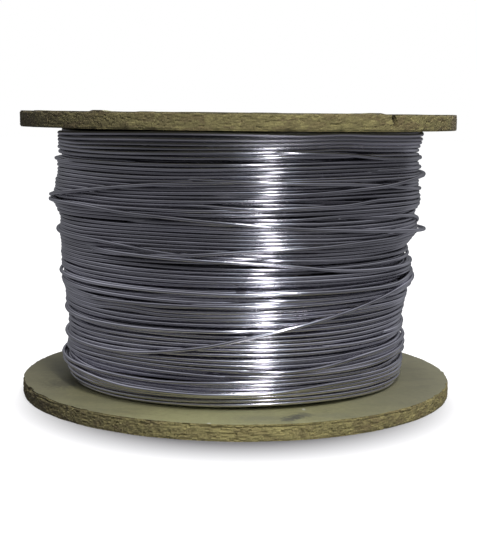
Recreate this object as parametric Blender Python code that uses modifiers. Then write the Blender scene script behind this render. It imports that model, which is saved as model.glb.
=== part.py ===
"""A round-flanged wooden reel wound with galvanized wire, standing on its lower flange.

Two discs of coarse chipboard clamp a cardboard barrel between them with three tie rods.
The rods' nuts and washers lie in recesses, so the reel stands flat on either disc.
Lengths are in metres. The reel's axis is +Z and its underside lies at Z = 0.
"""

import math

import bmesh
import bpy

MM = 0.001

# Flange discs
FLANGE_DIAMETER = 260 * MM
BOARD_THICKNESS = 9 * MM
RIM_CHAMFER = 0.6 * MM
SPINDLE_BORE_DIAMETER = 30 * MM

# Barrel, a wound cardboard tube seated in a groove of each disc
BARREL_DIAMETER = 90 * MM
BARREL_WALL = 5 * MM
GROOVE_DEPTH = 2 * MM

# Wire winding, which fills the space between the discs
TRAVERSE = 150 * MM
WIRE_DIAMETER = 2.2 * MM
WOUND_DIAMETER_AT_TOP = 219.6 * MM
WOUND_DIAMETER_AT_BOTTOM = 201 * MM
ROLL_HEIGHT = 1.5 * MM
ROLL_SPACING = 46 * MM
ROLL_CREST_ABOVE_BOARD = 111 * MM

# Tie rods with their washers and thin nuts
ROD_COUNT = 3
ROD_DIAMETER = 6 * MM
WASHER_DIAMETER = 18 * MM
WASHER_THICKNESS = 1.6 * MM
NUT_ACROSS_FLATS = 10 * MM
NUT_HEIGHT = 3.2 * MM
NUT_CHAMFER = 0.3 * MM
ROD_CHAMFER = 0.5 * MM

# Clearances
SEAT_GAP = 0.3 * MM
BOLT_HOLE_CLEARANCE = 0.3 * MM
RECESS_CLEARANCE = 0.5 * MM
NUT_SINK = 0.2 * MM
ROD_SINK = 0.4 * MM

# How finely the round pieces are divided
FLANGE_STEPS = 72
WINDING_STEPS = 36
HARDWARE_STEPS = 24
NUT_SIDES = 6

CUTTER_OVERRUN = 1 * MM
SMOOTH_ANGLE = math.radians(35)

# Sizes worked out from the ones above
OVERALL_HEIGHT = TRAVERSE + 2 * BOARD_THICKNESS
BARREL_RADIUS = BARREL_DIAMETER / 2
BARREL_INNER_RADIUS = BARREL_RADIUS - BARREL_WALL
ROD_CIRCLE_RADIUS = (SPINDLE_BORE_DIAMETER / 2 + BARREL_INNER_RADIUS) / 2
RECESS_RADIUS = WASHER_DIAMETER / 2 + RECESS_CLEARANCE
RECESS_DEPTH = NUT_SINK + NUT_HEIGHT + WASHER_THICKNESS + 2 * SEAT_GAP
WASHER_OFFSET = RECESS_DEPTH - SEAT_GAP - WASHER_THICKNESS
ROD_HOLE_RADIUS = ROD_DIAMETER / 2 + BOLT_HOLE_CLEARANCE
HALF_HARDWARE_STEP = math.pi / HARDWARE_STEPS
WINDING_BOTTOM = BOARD_THICKNESS + SEAT_GAP
WINDING_TOP = BOARD_THICKNESS + TRAVERSE - SEAT_GAP


def clear_scene():
    """Empties the scene before the reel is built."""
    for scene_object in list(bpy.data.objects):
        bpy.data.objects.remove(scene_object, do_unlink=True)


def make_collection(name):
    """Adds a collection to the scene."""
    collection = bpy.data.collections.new(name)
    bpy.context.scene.collection.children.link(collection)
    return collection


def make_material(name, colour, roughness, metallic):
    """Makes a Principled material with one colour."""
    material = bpy.data.materials.new(name)
    material.use_nodes = True
    shader = material.node_tree.nodes["Principled BSDF"]
    shader.inputs["Base Color"].default_value = (*colour, 1)
    shader.inputs["Roughness"].default_value = roughness
    shader.inputs["Metallic"].default_value = metallic
    material.diffuse_color = (*colour, 1)
    return material


def add_object(name, mesh, collection, material=None):
    """Places a mesh in a collection as a named object."""
    new_object = bpy.data.objects.new(name, mesh)
    if material:
        mesh.materials.append(material)
    collection.objects.link(new_object)
    return new_object


def turn_profile(name, profile, steps, collection, material=None, closed=True):
    """Turns an outline of (radius, height) points about Z.

    The outline runs down its outer side. A closed one comes back up its inner side,
    and an open one starts and ends on the axis.
    """
    mesh = bpy.data.meshes.new(name)
    points = [(radius, 0, height) for radius, height in profile]
    edges = [(i, i + 1) for i in range(len(points) - 1)]
    if closed:
        edges.append((len(points) - 1, 0))
    mesh.from_pydata(points, edges, [])
    turned = add_object(name, mesh, collection, material)
    screw = turned.modifiers.new("turned", "SCREW")
    screw.axis = "Z"
    screw.angle = math.tau
    screw.steps = steps
    screw.render_steps = steps
    screw.use_merge_vertices = True
    screw.merge_threshold = 0.01 * MM
    screw.use_smooth_shade = True
    return turned


def smooth_by_angle(target):
    """Shades a round piece smooth and keeps its corners sharp."""
    target.data.shade_smooth()
    target.data.set_sharp_from_angle(angle=SMOOTH_ANGLE)


def bake_modifiers(target):
    """Replaces an object's mesh by its evaluated one and shades it smooth."""
    depsgraph = bpy.context.evaluated_depsgraph_get()
    baked = bpy.data.meshes.new_from_object(target.evaluated_get(depsgraph))
    baked.name = target.name
    target.modifiers.clear()
    target.data = baked
    smooth_by_angle(target)


def make_prism(name, radius, depth, sides, collection, material=None):
    """Makes an upright prism whose lower face lies at its origin's height."""
    mesh = bpy.data.meshes.new(name)
    shape = bmesh.new()
    bmesh.ops.create_cone(
        shape, cap_ends=True, segments=sides, radius1=radius, radius2=radius, depth=depth
    )
    bmesh.ops.translate(shape, verts=shape.verts, vec=(0, 0, depth / 2))
    shape.to_mesh(mesh)
    shape.free()
    return add_object(name, mesh, collection, material)


def chamfer_edges(target, width):
    """Chamfers the sharp edges of a piece."""
    bevel = target.modifiers.new("chamfer", "BEVEL")
    bevel.width = width
    bevel.segments = 1
    bevel.limit_method = "ANGLE"
    bevel.angle_limit = math.radians(50)
    bevel.use_clamp_overlap = True


def cut(target, cutter):
    """Cuts one solid out of another."""
    boolean = target.modifiers.new(cutter.name, "BOOLEAN")
    boolean.operation = "DIFFERENCE"
    boolean.solver = "EXACT"
    boolean.object = cutter


def mark_as_cutter(cutter):
    """Shows a cutter as wires and keeps it out of the model."""
    cutter.hide_render = True
    cutter.display_type = "WIRE"


def rod_centres():
    """Where each tie rod crosses the XY plane."""
    for index in range(ROD_COUNT):
        angle = math.tau * index / ROD_COUNT
        yield ROD_CIRCLE_RADIUS * math.cos(angle), ROD_CIRCLE_RADIUS * math.sin(angle)


def flange_profile():
    """Outline of a disc, with its outer face at height 0 and its grooved face above."""
    rim = FLANGE_DIAMETER / 2
    bore = SPINDLE_BORE_DIAMETER / 2
    groove_outer = BARREL_RADIUS + SEAT_GAP
    groove_inner = BARREL_INNER_RADIUS - SEAT_GAP
    groove_floor = BOARD_THICKNESS - GROOVE_DEPTH
    return [
        (bore, BOARD_THICKNESS),
        (groove_inner, BOARD_THICKNESS),
        (groove_inner, groove_floor),
        (groove_outer, groove_floor),
        (groove_outer, BOARD_THICKNESS),
        (rim - RIM_CHAMFER, BOARD_THICKNESS),
        (rim, BOARD_THICKNESS - RIM_CHAMFER),
        (rim, RIM_CHAMFER),
        (rim - RIM_CHAMFER, 0),
        (bore, 0),
    ]


def bolt_cutter_profile():
    """Outline of what a tie rod's hole and recess take out of a disc."""
    hole_top = BOARD_THICKNESS + CUTTER_OVERRUN
    return [
        (0, hole_top),
        (ROD_HOLE_RADIUS, hole_top),
        (ROD_HOLE_RADIUS, RECESS_DEPTH),
        (RECESS_RADIUS, RECESS_DEPTH),
        (RECESS_RADIUS, -CUTTER_OVERRUN),
        (0, -CUTTER_OVERRUN),
    ]


def make_flange(name, outer_face_height, flipped, parts, cutters, material):
    """Makes a disc with its bore, barrel groove and three recessed rod holes.

    Each hole is turned by half a step, so that its corners lie off the disc's radial edges.
    """
    flange = turn_profile(name, flange_profile(), FLANGE_STEPS, parts, material)
    for index, (x, y) in enumerate(rod_centres(), start=1):
        cutter_name = f"{name}_hole_{index}"
        cutter = turn_profile(
            cutter_name, bolt_cutter_profile(), HARDWARE_STEPS, cutters, closed=False
        )
        cutter.parent = flange
        cutter.location = (x, y, 0)
        cutter.rotation_euler.z = HALF_HARDWARE_STEP
        mark_as_cutter(cutter)
        cut(flange, cutter)
    flange.location.z = outer_face_height
    flange.rotation_euler.x = math.pi if flipped else 0
    return flange


def make_barrel(parts, material):
    """Makes the tube that the wire is wound on, seated in both grooves."""
    bottom = BOARD_THICKNESS - GROOVE_DEPTH + SEAT_GAP
    top = OVERALL_HEIGHT - bottom
    profile = [
        (BARREL_INNER_RADIUS, top),
        (BARREL_RADIUS, top),
        (BARREL_RADIUS, bottom),
        (BARREL_INNER_RADIUS, bottom),
    ]
    return turn_profile("barrel", profile, WINDING_STEPS, parts, material)


def wound_radius(height):
    """Outer radius of the winding, which tapers downwards in soft rolls."""
    share = (height - WINDING_BOTTOM) / (WINDING_TOP - WINDING_BOTTOM)
    taper = WOUND_DIAMETER_AT_BOTTOM / 2
    taper += share * (WOUND_DIAMETER_AT_TOP - WOUND_DIAMETER_AT_BOTTOM) / 2
    from_crest = height - BOARD_THICKNESS - ROLL_CREST_ABOVE_BOARD
    return taper + ROLL_HEIGHT * math.cos(math.tau * from_crest / ROLL_SPACING)


def winding_profile():
    """Outline of the winding: one ridge for each turn of its outer layer."""
    bore = BARREL_RADIUS + SEAT_GAP
    width = WINDING_TOP - WINDING_BOTTOM
    turns = int(width / WIRE_DIAMETER)
    pitch = width / turns
    furrow = WIRE_DIAMETER / 2
    profile = [(bore, WINDING_TOP), (wound_radius(WINDING_TOP) - furrow, WINDING_TOP)]
    for turn in range(turns):
        crest = WINDING_TOP - (turn + 0.5) * pitch
        valley = WINDING_TOP - (turn + 1) * pitch
        profile.append((wound_radius(crest), crest))
        profile.append((wound_radius(valley) - furrow, valley))
    profile.append((bore, WINDING_BOTTOM))
    return profile


def make_winding(parts, material):
    """Makes the wound wire as one ridged solid around the barrel."""
    return turn_profile("wire_winding", winding_profile(), WINDING_STEPS, parts, material)


def make_tie_rod(index, x, y, parts, material):
    """Makes a rod that reaches from the recess in one disc to the other."""
    length = OVERALL_HEIGHT - 2 * ROD_SINK
    name = f"tie_rod_{index}"
    rod = make_prism(name, ROD_DIAMETER / 2, length, HARDWARE_STEPS, parts, material)
    rod.location = (x, y, ROD_SINK)
    chamfer_edges(rod, ROD_CHAMFER)
    bake_modifiers(rod)
    return rod


def make_washer(name, x, y, bottom, parts, material):
    """Makes a wide washer that spreads a nut's load over the board."""
    profile = [
        (ROD_HOLE_RADIUS, WASHER_THICKNESS),
        (WASHER_DIAMETER / 2, WASHER_THICKNESS),
        (WASHER_DIAMETER / 2, 0),
        (ROD_HOLE_RADIUS, 0),
    ]
    washer = turn_profile(name, profile, HARDWARE_STEPS, parts, material)
    washer.location = (x, y, bottom)
    return washer


def make_nut(name, x, y, bottom, parts, cutters, material):
    """Makes a thin hexagon nut with its bore."""
    across_corners = NUT_ACROSS_FLATS / math.cos(math.pi / NUT_SIDES)
    nut = make_prism(name, across_corners / 2, NUT_HEIGHT, NUT_SIDES, parts, material)
    chamfer_edges(nut, NUT_CHAMFER)
    bore_length = NUT_HEIGHT + 2 * CUTTER_OVERRUN
    bore = make_prism(f"{name}_bore", ROD_HOLE_RADIUS, bore_length, HARDWARE_STEPS, cutters)
    bore.parent = nut
    bore.location.z = -CUTTER_OVERRUN
    mark_as_cutter(bore)
    cut(nut, bore)
    nut.location = (x, y, bottom)
    return nut


def make_hardware(parts, cutters, material):
    """Makes each tie rod with a washer and a nut at both of its ends."""
    washer_bottoms = {
        "lower": WASHER_OFFSET,
        "upper": OVERALL_HEIGHT - WASHER_OFFSET - WASHER_THICKNESS,
    }
    nut_bottoms = {"lower": NUT_SINK, "upper": OVERALL_HEIGHT - NUT_SINK - NUT_HEIGHT}
    for index, (x, y) in enumerate(rod_centres(), start=1):
        make_tie_rod(index, x, y, parts, material)
        for end in ("lower", "upper"):
            make_washer(f"{end}_washer_{index}", x, y, washer_bottoms[end], parts, material)
            make_nut(f"{end}_nut_{index}", x, y, nut_bottoms[end], parts, cutters, material)


def main():
    """Builds the reel."""
    clear_scene()
    parts = make_collection("galvanized_wire_reel")
    cutters = make_collection("cutters")
    chipboard = make_material("chipboard", (0.24, 0.22, 0.11), 0.8, 0.0)
    cardboard = make_material("cardboard", (0.36, 0.25, 0.15), 0.9, 0.0)
    galvanized = make_material("galvanized_wire", (0.42, 0.43, 0.46), 0.38, 1.0)
    zinc_plated = make_material("zinc_plated_steel", (0.55, 0.56, 0.58), 0.3, 1.0)
    make_flange("lower_flange", 0, False, parts, cutters, chipboard)
    make_flange("upper_flange", OVERALL_HEIGHT, True, parts, cutters, chipboard)
    make_barrel(parts, cardboard)
    make_winding(parts, galvanized)
    make_hardware(parts, cutters, zinc_plated)


main()
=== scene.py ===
"""The looks of a chipboard reel wound with galvanized wire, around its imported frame.

The file is laid out as a Blender add-on and run as a script. Each operator makes one piece, or
one group of like pieces, and the last one makes the stage. Lengths are in metres, and angles
run round the reel's axis from the front, towards its right side.
"""

import math

import bmesh
import bpy
import numpy as np
from bpy.props import FloatProperty, FloatVectorProperty, IntProperty, PointerProperty
from bpy.types import Operator, Panel, PropertyGroup
from mathutils import Matrix, Vector


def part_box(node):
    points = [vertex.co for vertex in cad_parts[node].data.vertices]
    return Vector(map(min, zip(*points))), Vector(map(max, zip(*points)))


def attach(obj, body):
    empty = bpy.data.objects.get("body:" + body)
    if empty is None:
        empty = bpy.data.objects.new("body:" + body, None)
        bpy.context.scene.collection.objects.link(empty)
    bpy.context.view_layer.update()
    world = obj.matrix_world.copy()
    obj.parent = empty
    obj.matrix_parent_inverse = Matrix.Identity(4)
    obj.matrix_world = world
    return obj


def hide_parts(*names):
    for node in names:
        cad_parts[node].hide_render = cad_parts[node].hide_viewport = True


bl_info = {
    "name": "Galvanized Wire Reel",
    "version": (1, 0, 0),
    "blender": (4, 5, 0),
    "location": "3D View > Sidebar > Wire Reel",
    "description": "Makes a chipboard reel wound with galvanized wire around its frame",
    "category": "Add Mesh",
}

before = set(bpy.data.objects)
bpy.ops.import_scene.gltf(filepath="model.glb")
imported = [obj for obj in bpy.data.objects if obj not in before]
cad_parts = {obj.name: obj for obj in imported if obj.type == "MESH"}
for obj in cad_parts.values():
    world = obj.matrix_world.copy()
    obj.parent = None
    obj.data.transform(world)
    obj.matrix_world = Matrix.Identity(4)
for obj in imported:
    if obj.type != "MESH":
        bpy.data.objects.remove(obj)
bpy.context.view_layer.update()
MM = 0.001

# Places taken from the frame
LOWER_BOARD_LOW, LOWER_BOARD_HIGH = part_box("lower_flange")
WINDING_LOW, WINDING_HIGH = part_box("wire_winding")
WASHER_LOW, WASHER_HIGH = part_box("lower_washer_1")
ROD_LOW, ROD_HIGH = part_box("tie_rod_1")
FLANGE_RADIUS = LOWER_BOARD_HIGH[0]
BOARD_THICKNESS = LOWER_BOARD_HIGH[2] - LOWER_BOARD_LOW[2]
ROD_CIRCLE_RADIUS = (ROD_LOW[0] + ROD_HIGH[0]) / 2
BARREL_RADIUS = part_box("barrel")[1][0]
REEL_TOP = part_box("upper_flange")[1][2]
ROD_COUNT = sum(name.startswith("tie_rod_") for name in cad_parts)

# Fits that follow the frame's clearances
SEAT_GAP = 0.3 * MM
SPINDLE_BORE_RADIUS = 15 * MM
BARREL_WALL = 5 * MM
GROOVE_DEPTH = 2 * MM
BORE_CHAMFER = 0.4 * MM
ROD_HOLE_RADIUS = (ROD_HIGH[0] - ROD_LOW[0]) / 2 + SEAT_GAP
RECESS_RADIUS = (WASHER_HIGH[0] - WASHER_LOW[0]) / 2 + 0.5 * MM
RECESS_DEPTH = WASHER_HIGH[2] + SEAT_GAP

# How finely the wire is divided, round the reel and round itself
TURN_STEPS = 120
WIRE_SIDES = 8

# How the wire lies: shares of its diameter
CONTACT = 0.91
LEAST_SPACING = 0.935
SLACK = 0.3
WOUND_DEPTH = 2.4
END_DIVE = 1.9

# How the wire lies: lengths, counts and numbers of steps
ROW_WANDER = 0.32 * MM
KINK = 0.08 * MM
UNEVEN_CLIMB = 0.6
BRIDGE_REACH = 4
JOIN_STEPS = TURN_STEPS // 8
DIVE_STEPS = 9

# How often the wire changes its climb, its row and its kinks in one turn
CLIMB_KNOTS = 1.9
WANDER_KNOTS = 10
KINK_KNOTS = 14

# Turns that stray from their row: their number in a layer, where on the turn their middle is, how
# many steps wide they are to each side, and which share of the stray they take
STRAY_COUNT = 7
STRAY_MIDDLES = (0.3, 0.7)
STRAY_HALF_WIDTHS = (6, 16)
STRAY_SHARES = (0.6, 1)

# Turns that cross the rows at a small angle: their spans in degrees, and their heights and how far
# out they are laid in mm
SHALLOW_TURN_COUNT = 22
SHALLOW_SPANS = (80, 170)
SHALLOW_HEIGHTS = (18, 150)
SHALLOW_SINK = -0.8
# Shallow turns that would heap up at the foot of the winding, so they aren't laid
UNLAID_TURNS = (1, 2, 8, 22)

# How the discs are divided: steps round the rim, rows across it, and radii on both faces in mm
RIM_STEPS = 1080
RIM_ROWS = 20
INNER_FACE_RADII = (128, 125, 121, 115, 108, 100, 88, 74, 60, 50)
OUTER_FACE_RADII = (28, 42, 60, 80, 98, 112, 121, 125)

# How far the spiral seam of the barrel climbs in one round
STRIP_CLIMB = 90 * MM

# Wear of the discs' edges
DEEPEST_FLAKE = 1.8 * MM
ROUND_OFF = 0.5 * MM
ARRIS_WIDTH = 1.1 * MM
EDGE_STEP = 0.3 * MM
RISE_FADES_BY = 2.5 * MM
RISE_STARTS = 118 * MM
RISE_WIDTH = 9 * MM
OUTER_ROW_RADIUS = 128.4 * MM

# Where the face layer has split off the rim, and where the arris has crumbled, from the front round
SPLIT_HEIGHT = BOARD_THICKNESS - 1.9 * MM
SPLIT_WAVER = 0.55 * MM
SPLIT_WIDTH = 0.42 * MM
PEELED_HALF_ANGLE = 19
CRUMBLED_ANGLE = -45
CRUMBLED_HALF_ANGLE = 26
CRUMBLED_HEIGHT = 2.6 * MM
CRUMBLED_DEPTH = 1.7 * MM

# The stage: the floor, and the place that the lights face
FLOOR_SIZE = 14
FLOOR_GAP = 0.1 * MM
REEL_MIDDLE = Vector((0, 0, 0.08))

# The camera: its place, and how far it looks down and leans over, in radians
CAMERA_PLACE = (1.05 * MM, -732 * MM, 167.5 * MM)
LOOKS_DOWN = 0.1309
LEANS_OVER = 0.0106

# Height and outer radius of the winding, in mm, on its left and right and at its middle
LEFT_OUTLINE = (
    (9, 98), (12, 100.5), (16, 103.5), (21, 104.8), (26, 103.6), (32, 102.2), (50, 102.6),
    (60, 104), (70, 106), (80, 106.6), (92, 106.6), (100, 107.4), (106, 106.6), (112, 109),
    (117, 111.5), (121, 110.2), (126, 109.8), (133, 108), (138, 109), (143, 107.4), (157, 108),
)
RIGHT_OUTLINE = (
    (9, 98.5), (13, 100.5), (18, 102), (22, 102), (28, 99), (38, 99.2), (50, 101), (60, 103),
    (68, 104.6), (74, 106), (79, 104.6), (85, 102.6), (91, 101.4), (95, 105), (100, 109),
    (104, 108.8), (108, 107), (113, 107.6), (119, 110.8), (123, 109.4), (128, 108.6), (145, 108.4),
    (152, 110), (157, 111),
)
MIDDLE_OUTLINE = (
    (9, 98.3), (13, 100.5), (20, 102.6), (30, 101.4), (50, 102), (70, 104.6), (90, 105),
    (110, 107.4), (125, 109), (157, 109.4),
)

# Marks on the faces of the discs: centre and size in mm, strength and colour
FACE_MARKS = (
    ((-6, -117, 9), (58, 24, 6), 0.3, (0.37, 0.36, 0.185)),
    ((28.5, -117, 9), (5, 6.5, 6), 0.75, (0.075, 0.075, 0.066)),
    ((32.5, -112.5, 9), (5.5, 6.5, 6), 0.8, (0.07, 0.07, 0.062)),
    ((37, -108, 9), (5.5, 6, 6), 0.55, (0.08, 0.08, 0.07)),
    ((14, -117, 9), (20, 8, 6), 0.3, (0.13, 0.13, 0.105)),
    ((52, -108, 9), (16, 7, 6), 0.25, (0.15, 0.15, 0.12)),
    ((-13.3, -127.3, 9), (1.4, 1.2, 3), 0.9, (0.6, 0.6, 0.56)),
    ((37.2, -95.5, 9), (0.9, 2.6, 3), 0.8, (0.5, 0.5, 0.44)),
    # Dark patch at the left foot of the winding: partly dirt, partly painted shadow of the winding
    ((-100, -38, 9), (14, 16, 6), 0.5, (0.06, 0.055, 0.045)),
    ((-62, -106, 9), (18, 4, 6), 0.3, (0.16, 0.14, 0.08)),
    ((40, 60, 168), (30, 18, 6), 0.35, (0.1, 0.1, 0.08)),
    ((-60, -20, 168), (22, 26, 6), 0.3, (0.12, 0.11, 0.08)),
)

# Wear of the upper disc's rim: cracks as (angle, height, half height, half width, depth) and raised
# flakes of its top edge as (angle, half width, rise), with angles in degrees and lengths in mm
RIM_CRACKS = (
    (38.67, 166.2, 1.3, 0.8, 3), (39, 165, 1.4, 0.8, 3), (39.33, 163.2, 1.9, 0.75, 2.6),
    (-52, 163, 2, 0.4, 1),
)
RAISED_FLAKES = (
    (-34.3, 1.9, 0.7), (-21, 2.2, 0.25), (-58, 2.5, 0.3), (28.5, 1.6, 0.35), (33, 2.6, 0.6),
    (6, 3.5, 0.25), (140, 3, 0.5), (205, 4, 0.4),
)

# The loose turns that cross the even rows. A route has places of an angle in degrees, a height in
# mm and, where the turn doesn't rest on the rows, how many mm further out or in it is laid
LOOSE_TURNS = {
    "rising_turn": (
        (-150, 37), (-70, 36.5), (-40, 37), (-28, 38.3), (-15.3, 41.9), (-6.3, 44.3), (0.9, 48.4),
        (13.9, 52.9), (25.9, 57.8), (36.5, 61.8), (47.6, 66.5), (54.4, 69.6), (64.4, 71.8),
        (84, 73.2, -0.7), (110, 73.8, -0.7), (170, 74.5),
    ),
    "upper_left_turn": (
        (-170, 117.2), (-110, 118), (-81, 118.8, 0.3), (-54.6, 123.9), (-42.2, 126.8),
        (-33.2, 128.7), (-23.2, 130.5), (-9.9, 131.7), (0.7, 132.5), (40, 133), (120, 132.5),
    ),
    "long_crossing_turn": (
        (-150, 113), (-100, 115.4), (-81, 116.6), (-62.3, 117.3), (-47.4, 117.2), (-37.8, 115.6),
        (-29.8, 114.4), (-21.2, 113.8), (-13.3, 112.2), (-4, 111.1), (7.1, 109.2), (13.6, 108.4),
        (23.8, 107.1), (33.6, 106), (51, 104), (70, 101.8, 1.2), (84, 100.4, 3.2),
        (98, 99.5, 1.2), (140, 100), (175, 101),
    ),
    "bulging_turn": (
        (30, 112.4), (55, 112), (70, 110.4, -0.3), (82, 107, -0.9), (92, 103, -0.9),
        (120, 100.5, -0.6), (160, 99),
    ),
    "left_falling_turn": (
        (-140, 99.5), (-90, 98.8), (-65.5, 98.2), (-52.6, 98.5), (-41.7, 97.8), (-33.1, 96.5),
        (-25.6, 94.7), (-10, 92.4), (20, 91),
    ),
    "middle_rising_turn": (
        (-60, 91), (-20.5, 92.5), (-8.9, 94.2), (2, 95.8), (14.3, 97.1), (25, 97.6), (37.4, 99.2),
        (54.8, 99.8), (72, 100.4),
    ),
    "middle_falling_turn": (
        (-60, 94), (-25.5, 92.3), (-17.1, 91.5), (2.1, 89.6), (14.4, 88.4), (25.2, 85.5),
        (35, 83.7), (60, 82.5, -0.4), (84, 82.2, -1), (110, 82, -1),
    ),
    "upper_falling_turn": (
        (-20, 133.4), (10.1, 132.3), (20.2, 131.5), (31.4, 131.2), (44, 129.8), (68, 125.9, -0.5),
        (84, 124.6, -1.3), (110, 124, -1.3), (150, 123.5, -0.8),
    ),
    "upper_right_turn": (
        (-15, 125.4), (12.4, 125.8), (20.3, 126), (29.4, 127.2), (35.5, 128.2), (44, 129),
        (57.7, 131.6), (67.6, 133.1, -0.5), (84, 133.8, -1.5), (110, 134, -1.5), (140, 134.5),
    ),
    "top_right_turn": (
        (0, 148), (30.8, 146.9), (36.6, 145.7), (45.7, 143.8), (80, 143), (150, 144.5),
    ),
    "right_hand_turn": (
        (0, 74), (18.6, 73.8), (38.6, 73.6), (52.9, 73.4), (64, 75, -0.6), (90, 76.2, -1.3),
        (130, 77, -0.8),
    ),
    "lower_right_turn": (
        (-10, 30), (11.9, 30.2), (23.2, 30.4), (33.7, 33.1), (41, 35), (49.5, 35.7), (90, 37),
        (150, 38),
    ),
    "back_rising_turn": ((112, 58), (150, 62), (185, 70), (225, 74.5), (258, 75)),
    "back_falling_turn": ((118, 131), (165, 126), (205, 119), (250, 116.5)),
    "back_crossing_turn": ((96, 88), (140, 90.5), (185, 98), (232, 101), (262, 101.5)),
    "back_lower_turn": ((125, 33), (170, 30), (215, 24), (255, 23)),
}

# Where the rows part and show a dark gap: angle, height, half angle, half height, width
PARTINGS = (
    (-37, 59.4, 10, 6, 1.5), (-52, 115.6, 11, 5, 0.9), (-14, 128.6, 9, 5, 0.9),
    (-12, 69, 9, 5, 0.9), (20, 93.2, 13, 5, 1.1), (41, 33.2, 10, 5, 0.9),
    (30, 146.2, 8, 4, 0.8), (170, 80, 14, 6, 1.2), (212, 132, 12, 5, 1.0), (150, 118, 12, 5, 0.9),
)


class ReelWireSettings(PropertyGroup):
    """Sizes and colour of the wire and of how it is wound."""

    diameter: FloatProperty(
        name="Wire diameter", description="Diameter of the galvanized wire",
        default=2.2 * MM, unit="LENGTH",
    )
    rows_inner: FloatProperty(
        name="Inner row spacing",
        description="Height of one row of the innermost shown layer, as a share of the diameter",
        default=1.02,
    )
    rows_outer: FloatProperty(
        name="Outer row spacing",
        description="Height of one row of the outermost layer, as a share of the diameter",
        default=1.1,
    )
    stray: FloatProperty(
        name="Stray", description="How far a stray turn leaves its row",
        default=2.4 * MM, unit="LENGTH",
    )
    sway: FloatProperty(
        name="Sway", description="How far each wave moves neighbouring rows together",
        default=0.42 * MM, unit="LENGTH",
    )
    dent: FloatProperty(
        name="Dent", description="How deep each wave of the wound surface is",
        default=0.16 * MM, unit="LENGTH",
    )
    seed: IntProperty(
        name="Seed", description="Seed of the winding's irregular turns",
        default=11,
    )
    colour: FloatVectorProperty(
        name="Zinc colour", description="Colour of the zinc coating",
        default=(0.71, 0.695, 0.75), subtype="COLOR",
    )


class ReelBoardSettings(PropertyGroup):
    """Sizes and colours of the chipboard discs."""

    flake_depth: FloatProperty(
        name="Flake depth", description="How deep the torn flakes of the rim lie",
        default=0.4 * MM, unit="LENGTH",
    )
    face_colour: FloatVectorProperty(
        name="Face colour", description="Colour of the smooth face of a disc",
        default=(0.272, 0.262, 0.136), subtype="COLOR",
    )
    rim_colour: FloatVectorProperty(
        name="Rim colour", description="Colour of the torn flakes at the rim",
        default=(0.205, 0.18, 0.073), subtype="COLOR",
    )
    seed: IntProperty(
        name="Seed", description="Seed of the rim's flakes and chips",
        default=4,
    )


class ReelStageSettings(PropertyGroup):
    """Lights and camera of the stage."""

    key_power: FloatProperty(
        name="Key power",
        description="Power of the tall narrow light whose reflection runs down the wire",
        default=12.8, unit="POWER",
    )
    top_power: FloatProperty(
        name="Top power", description="Power of the wide light overhead",
        default=22.0, unit="POWER",
    )
    fill_power: FloatProperty(
        name="Fill power", description="Power of the light high in front",
        default=10.0, unit="POWER",
    )
    glow_power: FloatProperty(
        name="Glow power",
        description="Power of the wide dim panel in front that the wire reflects as a glow",
        default=2.7, unit="POWER",
    )
    focal_length: FloatProperty(
        name="Focal length", description="Focal length of the camera on a 36 mm sensor",
        default=79.54,
    )


def smooth_step(values):
    """Eases values from 0 to 1 with flat ends."""
    clipped = np.clip(values, 0, 1)
    return clipped * clipped * (3 - 2 * clipped)


def between_knots(knots, at):
    """Values that change smoothly from knot to knot, where the first follows the last."""
    left = at.astype(int)
    share = smooth_step(at - left)
    return knots[left % len(knots)] * (1 - share) + knots[(left + 1) % len(knots)] * share


def smooth_noise(rng, length, knots):
    """Random values between -1 and 1 that change smoothly along an array."""
    return between_knots(rng.uniform(-1, 1, knots + 3), np.linspace(0, knots, length))


def ring_noise(rng, length, knots):
    """Random values between -1 and 1 that change smoothly round a closed ring."""
    return between_knots(rng.uniform(-1, 1, knots), np.arange(length) * knots / length)


def ride_root(piece):
    """Lets a piece ride on the reel, under its root body."""
    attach(piece, "root")


def add_object(name, data, *materials):
    """Places a mesh, a light or a camera in the scene as a named object."""
    for material in materials:
        data.materials.append(material)
    new_object = bpy.data.objects.new(name, data)
    bpy.context.scene.collection.objects.link(new_object)
    return new_object


def make_ring_mesh(name, points, closed):
    """Makes a mesh of quads from rings of points; closed joins the last ring to the first."""
    numbers = np.arange(points.shape[0] * points.shape[1]).reshape(points.shape[:2])
    numbers = np.hstack((numbers, numbers[:, :1]))
    if closed:
        numbers = np.vstack((numbers, numbers[:1]))
    corners = (numbers[:-1, :-1], numbers[:-1, 1:], numbers[1:, 1:], numbers[1:, :-1])
    quads = np.stack(corners, axis=-1).reshape(-1, 4)
    mesh = bpy.data.meshes.new(name)
    mesh.from_pydata(points.reshape(-1, 3).tolist(), [], quads.tolist())
    return mesh


def around_axis(angles, radii, heights):
    """Points round the reel's axis."""
    return np.stack((radii * np.sin(angles), -radii * np.cos(angles), heights), axis=-1)


def paint_points(mesh, name, values):
    """Stores one number for each point of a mesh, for its material."""
    attribute = mesh.attributes.new(name, "FLOAT", "POINT")
    attribute.data.foreach_set("value", np.ascontiguousarray(values, dtype=np.float32).ravel())


def wound_radius(angles, heights):
    """Outer radius of the winding, which tapers downwards and bulges differently on each side."""
    left, right, middle = (
        np.interp(heights / MM, *np.array(outline).T)
        for outline in (LEFT_OUTLINE, RIGHT_OUTLINE, MIDDLE_OUTLINE)
    )
    side = np.sin(angles)
    to_side = smooth_step(np.abs(side) * 1.6 - 0.5)
    return (middle * (1 - to_side) + np.where(side < 0, left, right) * to_side) * MM


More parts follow.
